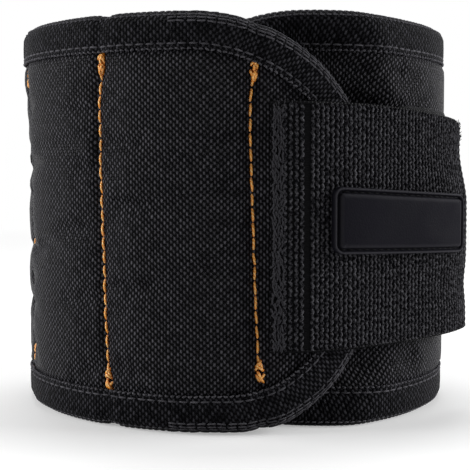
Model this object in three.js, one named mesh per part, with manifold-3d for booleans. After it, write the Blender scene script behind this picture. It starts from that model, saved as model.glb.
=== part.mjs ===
import * as THREE from 'three';
import { mergeVertices } from 'three/addons/utils/BufferGeometryUtils.js';
import Module from 'manifold-3d';

// A magnetic wristband: a quilted fabric band with magnets in its cells, rolled up and closed by a strap.
// Millimetres, +Z up. It stands on its lower edge, and its front faces -Y.
// Azimuths are in degrees from the front towards +X. From the flap along the band they keep falling,
// past -180 at the back, to about -400 at the end of the tail, which lies inside the flap.

// Band: layers from the outside in, cells between the fold lines, and the two rounded ends
const BAND_WIDTH = 88;
const BAND_RADIUS = 48.8;
const SHELL_THICKNESS = 1.0;
const LINING_THICKNESS = 0.8;
const CELL_CROWN = 0.8;
const FOLD_AZIMUTHS = [4.4, -34, -82, -128, -174, -220, -280, -340];
const FOLD_GAP = 0.4;
const SEAM_GAP = 0.3;
const FLAP_ROUNDING_AZIMUTH = -11;
const TAIL_DIP_AZIMUTHS = [-290, -320];

// Edge binding: a tape folded over the edges of the layers
const BINDING_THICKNESS = 0.8;
const BINDING_REACH = 8;

// Magnets: discs in round pockets of the foam, in two rows
const MAGNET_DIAMETER = 18;
const MAGNET_THICKNESS = 1.8;
const MAGNET_ROW_SPACING = 36;
const FOAM_SPARE = 0.5;

// Strap with its hook tape, the loop tape on the tail, and the rubber patch
const STRAP_WIDTH = 51;
const STRAP_THICKNESS = 1.6;
const STRAP_START_AZIMUTH = 9;
const STRAP_HINGE_AZIMUTH = 19;
const STRAP_END_AZIMUTH = 71;
const STRAP_LIFT_AZIMUTHS = [34, 84];
const STRAP_SPRING = 3;
const HOOK_WIDTH = 47;
const HOOK_THICKNESS = 1.6;
const HOOK_CLEARANCE = 3;
const HOOK_MARGIN = 1.5;
const LOOP_WIDTH = 50;
const LOOP_THICKNESS = 1.6;
const LOOP_START_AZIMUTH = -222;
const LOOP_END_AZIMUTH = -312;
const PATCH_HEIGHT = 13.6;
const PATCH_THICKNESS = 1.8;
const PATCH_CORNER = 1.5;
const PATCH_AZIMUTHS = [65, 23.2];

// Fineness of the round faces
const FACET_DEGREES = 6;
const END_STEPS = 9;
const END_TIP_ANGLE = 5;
const DISC_SIDES = 20;
const WELD_DISTANCE = 1e-4;

const { degToRad, lerp, radToDeg, smoothstep } = THREE.MathUtils;
const MID_HEIGHT = BAND_WIDTH / 2;
const magnetSag = BAND_RADIUS - Math.sqrt(BAND_RADIUS ** 2 - (MAGNET_DIAMETER / 2) ** 2);
const foamThickness = MAGNET_THICKNESS + magnetSag + FOAM_SPARE;
const foamDepth = SHELL_THICKNESS + SEAM_GAP;
const liningDepth = foamDepth + foamThickness + SEAM_GAP;
const bandThickness = liningDepth + LINING_THICKNESS;
const bindingProud = SEAM_GAP + BINDING_THICKNESS;
const layerInset = BINDING_THICKNESS + SEAM_GAP;
const nestDepth = bandThickness + 2 * bindingProud + SEAM_GAP;
const foldClearance = radToDeg(FOLD_GAP / 2 / BAND_RADIUS);
const tailFold = FOLD_AZIMUTHS.at(-2);

const finishes = {
  shell: { color: 0x17171b, roughness: 0.85, metalness: 0 },
  lining: { color: 0x1d1d21, roughness: 0.95, metalness: 0 },
  foam: { color: 0x2b2b2e, roughness: 1, metalness: 0 },
  binding: { color: 0x131316, roughness: 0.8, metalness: 0 },
  magnet: { color: 0xb9bcc0, roughness: 0.25, metalness: 1 },
  webbing: { color: 0x141417, roughness: 0.75, metalness: 0 },
  hook: { color: 0x18181a, roughness: 0.7, metalness: 0 },
  loop: { color: 0x161618, roughness: 1, metalness: 0 },
  rubber: { color: 0x1f1f23, roughness: 0.6, metalness: 0 },
};

const wristband = new THREE.Group();

function addPiece(name, finish, geometry) {
  const mesh = new THREE.Mesh(geometry, new THREE.MeshStandardMaterial(finishes[finish]));
  mesh.name = name;
  wristband.add(mesh);
  return mesh;
}

// The point at a radius, azimuth and height
function polar(radius, azimuth, height) {
  const angle = degToRad(azimuth);
  return new THREE.Vector3(radius * Math.sin(angle), -radius * Math.cos(angle), height);
}

// Faces turned outwards, whichever way round the shape was drawn
function faceOutwards(geometry) {
  const position = geometry.attributes.position;
  const corner = (i) => new THREE.Vector3().fromBufferAttribute(position, i);
  let volume = 0;
  for (let i = 0; i < position.count; i += 3) {
    volume += corner(i).dot(corner(i + 1).cross(corner(i + 2)));
  }
  for (let i = 0; volume < 0 && i < position.count; i += 3) {
    const [second, third] = [corner(i + 1), corner(i + 2)];
    position.setXYZ(i + 1, ...third);
    position.setXYZ(i + 2, ...second);
  }
  geometry.computeVertexNormals();
  return geometry;
}

// A section drawn through a number of steps, where place puts each section point at each step
function sweep(section, steps, place) {
  const geometry = new THREE.ExtrudeGeometry(section, { depth: steps, steps, bevelEnabled: false });
  const position = geometry.attributes.position;
  for (let i = 0; i < position.count; i += 1) {
    const step = Math.round(position.getZ(i));
    position.setXYZ(i, ...place(position.getX(i), position.getY(i), step));
  }
  return faceOutwards(geometry);
}

const unitSquare = new THREE.Shape().moveTo(0, 0).lineTo(1, 0).lineTo(1, 1).lineTo(0, 1);

// An upright curved wall through a list of azimuths, with radii and half height as functions of azimuth
function curvedWall(azimuths, inner, outer, halfHeight) {
  return sweep(unitSquare, azimuths.length - 1, (across, up, step) => {
    const azimuth = azimuths[step];
    const radius = lerp(inner(azimuth), outer(azimuth), across);
    return polar(radius, azimuth, MID_HEIGHT + halfHeight(azimuth) * (2 * up - 1));
  });
}

function spread(from, to) {
  const steps = Math.ceil(Math.abs(to - from) / FACET_DEGREES);
  return Array.from({ length: steps + 1 }, (_, i) => lerp(from, to, i / steps));
}

// The band's outer surface: round, and drawn in under the flap along the tail
function bandSurface(azimuth) {
  const [dipStart, dipEnd] = TAIL_DIP_AZIMUTHS;
  return BAND_RADIUS - nestDepth * smoothstep(-azimuth, -dipStart, -dipEnd);
}

// Both ends of the band are half rounds of its full width. The tail's starts at its last fold.
const flapEnd = { azimuth: FLAP_ROUNDING_AZIMUTH, direction: 1, radius: BAND_RADIUS };
const tailEnd = { azimuth: FOLD_AZIMUTHS.at(-1), direction: -1, radius: BAND_RADIUS - nestDepth };

// The azimuth at an angle about the centre of a half round: 90 is the band's edge, 0 is the tip
function azimuthAt(end, inset, angle) {
  const along = (MID_HEIGHT - inset) * Math.cos(degToRad(angle));
  return end.azimuth + end.direction * radToDeg(along / end.radius);
}

const edges = [azimuthAt(flapEnd, 0, 0), ...FOLD_AZIMUTHS, azimuthAt(tailEnd, 0, 0)];
const panels = [
  { name: 'flap', end: flapEnd, closing: true },
  { name: 'cell_1', end: flapEnd, padded: true },
  { name: 'cell_2', padded: true },
  { name: 'cell_3', padded: true },
  { name: 'cell_4', padded: true },
  { name: 'cell_5', padded: true },
  { name: 'tail_1' },
  { name: 'tail_2' },
  { name: 'tail_end', end: tailEnd, closing: true },
].map((panel, i) => ({
  ...panel,
  from: edges[i] - foldClearance,
  to: edges[i + 1] + foldClearance,
  middle: (edges[i] + edges[i + 1]) / 2,
}));

// How far along the band a point lies past the start of the rounding, in millimetres
function arcPast(end, azimuth) {
  return end ? Math.max(0, end.direction * degToRad(azimuth - end.azimuth) * end.radius) : 0;
}

function halfHeightOf(panel, inset) {
  return (azimuth) => Math.sqrt((MID_HEIGHT - inset) ** 2 - arcPast(panel.end, azimuth) ** 2);
}

// A closing panel runs from its one fold to its tip. This is the fold's angle about the half round.
function startAngle(panel, inset) {
  const fold = panel.end.direction > 0 ? panel.to : panel.from;
  return radToDeg(Math.acos(arcPast(panel.end, fold) / (MID_HEIGHT - inset)));
}

function stationsOf(panel, inset) {
  if (!panel.closing) {
    return spread(panel.from, panel.to);
  }
  const first = startAngle(panel, inset);
  return Array.from({ length: END_STEPS + 1 }, (_, i) => {
    return azimuthAt(panel.end, inset, lerp(first, END_TIP_ANGLE, i / END_STEPS));
  });
}

// Radius at a depth under the band's surface. Cells swell between their fold lines.
function surfaceOf(panel, depth, swell) {
  return (azimuth) => {
    const offset = (azimuth - panel.middle) / (panel.from - panel.middle);
    const crown = panel.padded && swell ? CELL_CROWN * (1 - offset ** 2) : 0;
    return bandSurface(azimuth) - depth + crown;
  };
}

function layerOf(panel, inner, outer) {
  return curvedWall(stationsOf(panel, layerInset), inner, outer, halfHeightOf(panel, layerInset));
}

// The binding's section: insets from the band's edge, and depths under the band's surface
const bindingSection = new THREE.Shape()
  .moveTo(0, -bindingProud)
  .lineTo(BINDING_REACH, -bindingProud)
  .lineTo(BINDING_REACH, -SEAM_GAP)
  .lineTo(BINDING_THICKNESS, -SEAM_GAP)
  .lineTo(BINDING_THICKNESS, bandThickness + SEAM_GAP)
  .lineTo(BINDING_REACH, bandThickness + SEAM_GAP)
  .lineTo(BINDING_REACH, bandThickness + bindingProud)
  .lineTo(0, bandThickness + bindingProud);

function bindingPoint(panel, azimuth, depth, height) {
  const outerLeg = depth < bandThickness / 2;
  return polar(surfaceOf(panel, depth, outerLeg)(azimuth), azimuth, height);
}

function straightBinding(panel, side) {
  const azimuths = spread(panel.from, panel.to);
  return sweep(bindingSection, azimuths.length - 1, (inset, depth, step) => {
    const azimuth = azimuths[step];
    return bindingPoint(panel, azimuth, depth, MID_HEIGHT + side * halfHeightOf(panel, inset)(azimuth));
  });
}

function endBinding(panel) {
  const steps = END_STEPS * 2;
  return sweep(bindingSection, steps, (inset, depth, step) => {
    const angle = startAngle(panel, inset) * (2 * step / steps - 1);
    const height = MID_HEIGHT + (MID_HEIGHT - inset) * Math.sin(degToRad(angle));
    return bindingPoint(panel, azimuthAt(panel.end, inset, angle), depth, height);
  });
}

// A disc facing outwards at an azimuth and height, with its inner face at a given radius
function placeDisc(object, azimuth, innerRadius, thickness, height) {
  object.position.copy(polar(innerRadius + thickness / 2, azimuth, height));
  object.rotation.z = degToRad(azimuth) + Math.PI;
  object.updateMatrix();
}

const magnetRows = [
  { row: 'upper', height: MID_HEIGHT + MAGNET_ROW_SPACING / 2 },
  { row: 'lower', height: MID_HEIGHT - MAGNET_ROW_SPACING / 2 },
];

// Foam with its magnet pockets cut right through
const wasm = await Module();
wasm.setup();

function toSolid(geometry) {
  const bare = geometry.clone();
  bare.deleteAttribute('normal');
  bare.deleteAttribute('uv');
  const welded = mergeVertices(bare, WELD_DISTANCE);
  const vertProperties = new Float32Array(welded.attributes.position.array);
  const triVerts = new Uint32Array(welded.index.array);
  return new wasm.Manifold(new wasm.Mesh({ numProp: 3, vertProperties, triVerts }));
}

function toGeometry(solid) {
  const { vertProperties, triVerts } = solid.getMesh();
  const geometry = new THREE.BufferGeometry();
  geometry.setAttribute('position', new THREE.BufferAttribute(vertProperties, 3));
  geometry.setIndex(new THREE.BufferAttribute(triVerts, 1));
  geometry.computeVertexNormals();
  return geometry;
}

function foamOf(panel) {
  const inner = surfaceOf(panel, foamDepth + foamThickness, false);
  const pad = layerOf(panel, inner, surfaceOf(panel, foamDepth, true));
  if (!panel.padded) {
    return pad;
  }
  const radius = MAGNET_DIAMETER / 2 + SEAM_GAP;
  const depth = foamThickness * 3;
  let solid = toSolid(pad);
  for (const { height } of magnetRows) {
    const place = new THREE.Object3D();
    placeDisc(place, panel.middle, inner(panel.middle) - foamThickness, depth, height);
    const pocket = new THREE.CylinderGeometry(radius, radius, depth, DISC_SIDES);
    solid = solid.subtract(toSolid(pocket.applyMatrix4(place.matrix)));
  }
  return toGeometry(solid);
}

for (const panel of panels) {
  const { name } = panel;
  const shellInside = surfaceOf(panel, SHELL_THICKNESS, true);
  const liningInside = surfaceOf(panel, bandThickness, false);
  addPiece(`shell_${name}`, 'shell', layerOf(panel, shellInside, surfaceOf(panel, 0, true)));
  addPiece(`foam_${name}`, 'foam', foamOf(panel));
  addPiece(`lining_${name}`, 'lining', layerOf(panel, liningInside, surfaceOf(panel, liningDepth, false)));
  if (panel.closing) {
    addPiece(`binding_${name}`, 'binding', endBinding(panel));
  } else {
    addPiece(`binding_top_${name}`, 'binding', straightBinding(panel, 1));
    addPiece(`binding_bottom_${name}`, 'binding', straightBinding(panel, -1));
  }
}

// Magnets, each lying on the lining
for (const panel of panels.filter(({ padded }) => padded)) {
  const seat = surfaceOf(panel, liningDepth - SEAM_GAP, false)(panel.middle);
  const radius = MAGNET_DIAMETER / 2;
  for (const { row, height } of magnetRows) {
    const disc = new THREE.CylinderGeometry(radius, radius, MAGNET_THICKNESS, DISC_SIDES);
    const magnet = addPiece(`magnet_${panel.name}_${row}`, 'magnet', disc);
    placeDisc(magnet, panel.middle, seat, MAGNET_THICKNESS, height);
  }
}

// The strap's inner face: sewn flat on the flap, over the flap's binding, then standing off over the tapes
const bindingStack = bindingProud + SEAM_GAP;
const tapeStack = LOOP_THICKNESS + HOOK_THICKNESS + 3 * SEAM_GAP;
function strapFace(azimuth) {
  const overBinding = smoothstep(azimuth, STRAP_START_AZIMUTH, STRAP_HINGE_AZIMUTH);
  const overTapes = smoothstep(azimuth, ...STRAP_LIFT_AZIMUTHS);
  const onFlap = lerp(SEAM_GAP, bindingStack, overBinding);
  return BAND_RADIUS + lerp(onFlap, tapeStack + STRAP_SPRING, overTapes);
}
const strapOutside = (azimuth) => strapFace(azimuth) + STRAP_THICKNESS;
const evenHeight = (width) => () => width / 2;

const strapSpans = [
  ['strap_sewn_end', STRAP_HINGE_AZIMUTH - foldClearance, STRAP_START_AZIMUTH],
  ['strap_webbing', STRAP_END_AZIMUTH, STRAP_HINGE_AZIMUTH + foldClearance],
];
for (const [name, from, to] of strapSpans) {
  const webbing = curvedWall(spread(from, to), strapFace, strapOutside, evenHeight(STRAP_WIDTH));
  addPiece(name, 'webbing', webbing);
}

const hookOutside = (azimuth) => strapFace(azimuth) - SEAM_GAP;
const hookInside = (azimuth) => hookOutside(azimuth) - HOOK_THICKNESS;
const hookStart = edges[0] + radToDeg(HOOK_CLEARANCE / BAND_RADIUS);
const hookSpan = spread(STRAP_END_AZIMUTH - HOOK_MARGIN, hookStart);
addPiece('hook_tape', 'hook', curvedWall(hookSpan, hookInside, hookOutside, evenHeight(HOOK_WIDTH)));

const loopInside = (azimuth) => bandSurface(azimuth) + SEAM_GAP;
const loopOutside = (azimuth) => loopInside(azimuth) + LOOP_THICKNESS;
const loopSpans = [
  ['loop_tape_rear', LOOP_START_AZIMUTH, tailFold + foldClearance],
  ['loop_tape_front', tailFold - foldClearance, LOOP_END_AZIMUTH],
];
for (const [name, from, to] of loopSpans) {
  addPiece(name, 'loop', curvedWall(spread(from, to), loopInside, loopOutside, evenHeight(LOOP_WIDTH)));
}

// The patch is a plate that follows the strap, with its corners rounded off
const patchInside = (azimuth) => strapOutside(azimuth) + SEAM_GAP;
const patchOutside = (azimuth) => patchInside(azimuth) + PATCH_THICKNESS;
function patchHalfHeight(azimuth) {
  const toEnd = Math.min(...PATCH_AZIMUTHS.map((end) => Math.abs(azimuth - end)));
  const intoCorner = Math.max(0, PATCH_CORNER - degToRad(toEnd) * patchOutside(azimuth));
  return PATCH_HEIGHT / 2 - PATCH_CORNER + Math.sqrt(Math.max(0, PATCH_CORNER ** 2 - intoCorner ** 2));
}
const [patchRight, patchLeft] = PATCH_AZIMUTHS;
const cornerDegrees = radToDeg(PATCH_CORNER / patchOutside(patchLeft));
const patchStations = [
  patchRight,
  patchRight - cornerDegrees / 3,
  ...spread(patchRight - cornerDegrees, patchLeft + cornerDegrees),
  patchLeft + cornerDegrees / 3,
  patchLeft,
];
addPiece('rubber_patch', 'rubber', curvedWall(patchStations, patchInside, patchOutside, patchHalfHeight));

export default wristband;
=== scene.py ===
import math

import bpy
import numpy as np
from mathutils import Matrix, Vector, noise


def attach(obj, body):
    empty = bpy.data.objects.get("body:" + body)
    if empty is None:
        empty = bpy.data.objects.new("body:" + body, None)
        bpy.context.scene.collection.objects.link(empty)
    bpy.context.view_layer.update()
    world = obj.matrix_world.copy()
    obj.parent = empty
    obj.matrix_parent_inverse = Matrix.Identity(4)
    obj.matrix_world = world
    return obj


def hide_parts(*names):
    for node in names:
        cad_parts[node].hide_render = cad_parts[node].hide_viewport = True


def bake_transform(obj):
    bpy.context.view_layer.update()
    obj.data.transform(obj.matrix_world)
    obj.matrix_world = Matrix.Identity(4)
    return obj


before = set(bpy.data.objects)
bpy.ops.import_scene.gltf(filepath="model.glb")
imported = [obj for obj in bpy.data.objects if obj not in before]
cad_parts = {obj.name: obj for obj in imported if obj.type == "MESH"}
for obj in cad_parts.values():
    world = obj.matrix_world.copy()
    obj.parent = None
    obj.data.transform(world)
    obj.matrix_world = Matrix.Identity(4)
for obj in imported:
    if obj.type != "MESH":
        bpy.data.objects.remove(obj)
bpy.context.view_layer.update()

# Mesh lining: a knitted spacer mesh with small openings, cut as one long strip for the wrist side.
# The binding holds it along both edges.
# The band is rolled up: azimuths run from the flap, 0 at the front, down past -360 to the tail's end.
BAND_RADIUS = 48.8
MID_HEIGHT = 44.0
FOLD_AZIMUTHS = [4.4, -34, -82, -128, -174, -220, -280, -340]
PANELS = ["flap", "cell_1", "cell_2", "cell_3", "cell_4", "cell_5", "tail_1", "tail_2", "tail_end"]
FLAP_ROUNDING = -11.0
TAIL_ROUNDING = -340.0
NEST_DEPTH = 8.04
NEST_SLOPE = (1, 15)
TAIL_RADIUS = BAND_RADIUS - NEST_DEPTH
SIDE_FLARE = 0.9
TAIL_FLARE = 1.15
TAIL_LIFT = 0.9
CORNER_SWELL = 0.07
LAYER_INSET = 1.1
LINING_DEPTHS = (4.74, 5.54)
GRID_STEP = 1.3
KNIT_COLUMN, KNIT_ROW = 1.9, 1.3
FLAP_TIP = FLAP_ROUNDING + math.degrees(MID_HEIGHT / BAND_RADIUS)
TAIL_TIP = TAIL_ROUNDING - math.degrees(MID_HEIGHT / TAIL_RADIUS)
SPAN_ENDS = [FLAP_TIP, -14.8, -58, -105, -151, -197, -250, -310, TAIL_TIP]


def smoothstep(value, start, end):
    t = np.clip((value - start) / (end - start), 0, 1)
    return t * t * (3 - 2 * t)


def hump(value, middle, width):
    return np.exp(-(((value - middle) / width) ** 2))


def past(azimuth, start, radius):
    """Length along the band past an azimuth, and 0 before it."""
    return np.radians(np.clip(azimuth - start, 0, None)) * radius


def band_radius(azimuth, height):
    past_flap = np.hypot(past(azimuth + 360, FLAP_ROUNDING, BAND_RADIUS), height - MID_HEIGHT) - MID_HEIGHT
    nested = NEST_DEPTH * (1 - smoothstep(past_flap, *NEST_SLOPE)) * (azimuth < -180)
    side_flare = SIDE_FLARE * smoothstep(height, 60, 80) * hump(azimuth, -85, 40)
    tail_flare = TAIL_FLARE * hump(azimuth, -275, 30)
    return BAND_RADIUS - nested + side_flare + tail_flare


def polar(radius, azimuth, height):
    angle = np.radians(azimuth)
    lift = TAIL_LIFT * smoothstep(height, MID_HEIGHT, 2 * MID_HEIGHT) * hump(azimuth, TAIL_ROUNDING, 25)
    return np.stack([radius * np.sin(angle), -radius * np.cos(angle), height + lift + 0 * angle], -1) / 1000


def half_height(azimuth, inset):
    past_flap = past(azimuth, FLAP_ROUNDING, BAND_RADIUS)
    past_tail = past(-azimuth, -TAIL_ROUNDING, TAIL_RADIUS)
    return np.sqrt(np.clip((MID_HEIGHT - inset) ** 2 - past_flap**2 - past_tail**2, 0, None))


def fuller(azimuth, height):
    """The lower corner of the flap hangs a little fuller than a half circle, with its lower edge level."""
    ahead = past(azimuth, FLAP_ROUNDING, BAND_RADIUS)
    low = np.clip(MID_HEIGHT - height, 0, None)
    turn = np.arctan2(low, ahead + 1e-9)
    swell = 1 + CORNER_SWELL * smoothstep(turn, 0.1, 0.9)
    swell = (swell**-40 + np.sin(np.clip(turn, 0.1, None)) ** 40) ** (-1 / 40)
    growth = (swell - 1) * smoothstep(np.hypot(ahead, low), 20, 40) * smoothstep(ahead, 0, 8)
    return azimuth + np.degrees(ahead * growth / BAND_RADIUS), height - low * growth


def tip_azimuths(inset, blunt):
    """Where the rounded ends of the flap and the tail stop, cut blunt at this half height."""
    reach = math.sqrt((MID_HEIGHT - inset) ** 2 - blunt**2)
    flap_tip = FLAP_ROUNDING + math.degrees(reach / BAND_RADIUS)
    return flap_tip, TAIL_ROUNDING - math.degrees(reach / TAIL_RADIUS)


def span_azimuths(span, inset):
    flap_tip, tail_tip = tip_azimuths(inset, 3)
    first = flap_tip if span == 0 else SPAN_ENDS[span]
    last = tail_tip if span == 7 else SPAN_ENDS[span + 1]
    fold = FOLD_AZIMUTHS[span]
    even = np.linspace(first, last, int(abs(first - last) / GRID_STEP) + 1)
    loose = even[np.abs(even - fold) > 4.3]
    fine = fold + np.linspace(-4, 4, 21)
    closer = np.linspace(0, 1, 6) ** 2 * 4 if span in (0, 7) else np.zeros(1)
    ends = np.concatenate([first - closer, last + closer])
    return np.unique(np.round(np.concatenate([loose, fine, ends]), 3))[::-1]


def span_grid(span, inset, rows):
    azimuth = span_azimuths(span, inset)[:, None]
    across = np.linspace(-1, 1, rows)[None, :]
    height = MID_HEIGHT + across * half_height(azimuth, inset)
    return fuller(azimuth + 0 * height, height)


def cloth_uv(azimuth, height):
    return np.stack([np.radians(azimuth) * BAND_RADIUS, height], -1)


def put(name, data):
    piece = bpy.data.objects.new(name, data)
    bpy.context.collection.objects.link(piece)
    return piece


def lay_map(mesh, uv):
    corner = np.empty(len(mesh.loops), int)
    mesh.loops.foreach_get("vertex_index", corner)
    layer = mesh.uv_layers.get("cloth") or mesh.uv_layers.new(name="cloth")
    layer.data.foreach_set("uv", np.asarray(uv, np.float32)[corner].ravel())


def plain_mesh(name, points, faces, uv, material):
    mesh = bpy.data.meshes.new(name)
    mesh.from_pydata([tuple(p) for p in points], [], faces)
    lay_map(mesh, uv)
    mesh.polygons.foreach_set("use_smooth", [True] * len(mesh.polygons))
    mesh.materials.append(material)
    mesh.validate()
    return put(name, mesh)


def sharpen(piece, degrees):
    piece.data.set_sharp_from_angle(angle=math.radians(degrees))


def inside_out(points, quads):
    a, b, c, d = (points[quads[:, k]] - points.mean(0) for k in range(4))
    return (np.cross(a, b) * c).sum() + (np.cross(a, c) * d).sum() < 0


def grid_quads(number):
    corners = number[:-1, :-1], number[:-1, 1:], number[1:, 1:], number[1:, :-1]
    return np.stack(corners, -1).reshape(-1, 4)


def closed_sheet(name, outer, inner, uv, material):
    rows, columns = outer.shape[:2]
    count = rows * columns
    number = np.arange(count).reshape(rows, columns)
    quad = grid_quads(number)[:, [0, 3, 2, 1]]
    rim = np.concatenate([number[0, :-1], number[:-1, -1], number[-1, :0:-1], number[:0:-1, 0]])
    onward = np.roll(rim, -1)
    side = np.stack([rim, onward, onward + count, rim + count], -1)
    faces = np.concatenate([quad, quad[:, ::-1] + count, side])
    points = np.concatenate([outer.reshape(-1, 3), inner.reshape(-1, 3)])
    if inside_out(points, faces):
        faces = faces[:, ::-1]
    flat = uv.reshape(-1, 2)
    piece = plain_mesh(name, points, faces.tolist(), np.concatenate([flat, flat]), material)
    sharpen(piece, 50)
    return piece


def bend_with_fold(piece):
    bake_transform(piece)


def panels_of(span):
    return PANELS[:2] if span == 0 else [PANELS[span + 1]]


def feed(tree, socket, value):
    if isinstance(value, bpy.types.NodeSocket):
        tree.links.new(value, socket)
    else:
        socket.default_value = value


def placed(tree, kind, inputs, **settings):
    """Adds a node, sets it up, feeds its inputs with values or other nodes' outputs, gives its outputs."""
    node = tree.nodes.new(kind)
    for label, value in settings.items():
        setattr(node, label, value)
    for label, value in inputs.items():
        feed(tree, node.inputs[label], value)
    return node.outputs


def maths(tree, operation, *values):
    return placed(tree, "ShaderNodeMath", dict(enumerate(values)), operation=operation)[0]


def from_middle(tree, value):
    return maths(tree, "ABSOLUTE", maths(tree, "SUBTRACT", maths(tree, "FRACT", value), 0.5))


def cloth_place(tree):
    return placed(tree, "ShaderNodeUVMap", {}, uv_map="cloth")["UV"]


def split(tree, vector):
    parts = placed(tree, "ShaderNodeSeparateXYZ", {0: vector})
    return parts["X"], parts["Y"]


def cloudy(tree, vector, scale, detail):
    return placed(tree, "ShaderNodeTexNoise", {"Vector": vector, "Scale": scale, "Detail": detail})["Fac"]


def ramp(tree, value, low, high, out_low, out_high):
    ends = {"From Min": low, "From Max": high, "To Min": out_low, "To Max": out_high}
    return placed(tree, "ShaderNodeMapRange", {"Value": value, **ends})["Result"]


def blended(tree, factor, dark, light):
    return placed(tree, "ShaderNodeMix", {0: factor, 6: dark, 7: light}, data_type="RGBA")[2]


def relief(tree, height, distance):
    return placed(tree, "ShaderNodeBump", {"Strength": 1.0, "Distance": distance, "Height": height})["Normal"]


def finish(name, roughness, specular, sheen=0.0):
    material = bpy.data.materials.new(name)
    material.use_nodes = True
    shader = material.node_tree.nodes["Principled BSDF"].inputs
    shader["Roughness"].default_value = roughness
    shader["Specular IOR Level"].default_value = specular
    shader["Sheen Weight"].default_value = sheen
    return material, material.node_tree, shader


def shader_group(name, values, outputs):
    """An empty group that reads a place and some values, and puts out values that vary over a cloth."""
    tree = bpy.data.node_groups.new(name, "ShaderNodeTree")
    tree.interface.new_socket("Place", in_out="INPUT", socket_type="NodeSocketVector")
    for label, value in values.items():
        socket = tree.interface.new_socket(label, in_out="INPUT", socket_type="NodeSocketFloat")
        socket.default_value = value
    for label in outputs:
        tree.interface.new_socket(label, in_out="OUTPUT", socket_type="NodeSocketFloat")
    return tree, tree.nodes.new("NodeGroupInput").outputs, tree.nodes.new("NodeGroupOutput").inputs


def place_group(tree, group, **values):
    inputs = {label.replace("_", " "): value for label, value in values.items()}
    return placed(tree, "ShaderNodeGroup", inputs, node_tree=group)


# Lint and rubbing: specks of pale fluff and a slow unevenness, for most of the cloths.
lint, lint_in, lint_out = shader_group("Lint and rubbing", {"Patch scale": 0.09}, ["Rubbed", "Fluff"])
slow = cloudy(lint, lint_in["Place"], lint_in["Patch scale"], 2.0)
lint.links.new(slow, lint_out["Rubbed"])
fluff = cloudy(lint, lint_in["Place"], 1.7, 5.0)
lint.links.new(ramp(lint, fluff, 0.62, 0.8, 0.0, 1.0), lint_out["Fluff"])

mesh_lining, tree, shader = finish("mesh lining", 0.85, 0.12)
u, v = split(tree, cloth_place(tree))
row = maths(tree, "DIVIDE", v, KNIT_ROW)
stagger = maths(tree, "MULTIPLY", maths(tree, "FLOOR", row), 0.5)
column = maths(tree, "ADD", maths(tree, "DIVIDE", u, KNIT_COLUMN), stagger)
sides = [maths(tree, "POWER", from_middle(tree, place), 2.0) for place in (column, row)]
hole = maths(tree, "SQRT", maths(tree, "ADD", *sides))
knit = ramp(tree, hole, 0.18, 0.36, 0.0, 1.0)
dust = place_group(tree, lint, Place=cloth_place(tree), Patch_scale=0.12)
bare = blended(tree, dust["Rubbed"], (0.010, 0.010, 0.012, 1), (0.020, 0.020, 0.023, 1))
feed(tree, shader["Base Color"], blended(tree, knit, (0.002, 0.002, 0.002, 1), bare))
feed(tree, shader["Normal"], relief(tree, knit, 0.0003))

for span in range(8):
    azimuth, height = span_grid(span, LAYER_INSET, 31)
    radius = band_radius(azimuth, height)
    outer, inner = (polar(radius - depth, azimuth, height) for depth in LINING_DEPTHS)
    lining = closed_sheet(f"lining_strip_{span + 1}", outer, inner, cloth_uv(azimuth, height), mesh_lining)
    along = np.linalg.norm(np.diff(inner, axis=0), axis=2).mean(1)
    across = np.abs(np.diff(inner[:, :, 2], axis=1)).sum(1)
    bend_with_fold(lining)
    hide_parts(*[f"lining_{panel}" for panel in panels_of(span)])
    foam = [f"foam_{PANELS[span]}"]

# Foam pads: one sheet of dark foam in each panel between the lining and the shell, thinner towards the
# lines of stitching that squeeze it. The five cells have two round pockets each for the magnets.
FOAM_DEPTHS = (1.35, 4.4)
FOAM_INSET = 3.0
FOAM_SQUEEZE = 1.7
POCKET_RADIUS = 9.3
POCKET_DEPTH = 12.0
POCKET_CENTRE = 46.0
MAGNET_HEIGHTS = (26.0, 62.0)
flap_tip, tail_tip = tip_azimuths(LAYER_INSET, 6)
PANEL_ENDS = [flap_tip, *FOLD_AZIMUTHS, tail_tip]

pad_foam, tree, shader = finish("pad foam", 0.95, 0.1)
pores = placed(tree, "ShaderNodeTexVoronoi", {"Vector": cloth_place(tree), "Scale": 1.4})["Distance"]
foam = blended(tree, pores, (0.012, 0.012, 0.013, 1), (0.03, 0.03, 0.032, 1))
feed(tree, shader["Base Color"], foam)
feed(tree, shader["Normal"], relief(tree, pores, 0.0003))


def settle(piece):
    """Makes what the modifiers give the piece's plain mesh."""
    bpy.context.view_layer.update()
    whole = piece.evaluated_get(bpy.context.evaluated_depsgraph_get())
    plain = bpy.data.meshes.new_from_object(whole)
    piece.modifiers.clear()
    piece.data = plain


def cut_pockets(pad, middle):
    cutters = []
    for level in MAGNET_HEIGHTS:
        depth = POCKET_DEPTH / 1000
        bpy.ops.mesh.primitive_cylinder_add(vertices=32, radius=POCKET_RADIUS / 1000, depth=depth)
        cutter = bpy.context.object
        cutter.location = polar(POCKET_CENTRE, np.array(middle), level)
        cutter.rotation_euler = (math.radians(90), 0, math.radians(middle))
        cut = pad.modifiers.new("pocket", "BOOLEAN")
        cut.object = cutter
        cut.solver = "EXACT"
        cutters.append(cutter)
    settle(pad)
    for cutter in cutters:
        bpy.data.objects.remove(cutter)


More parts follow.
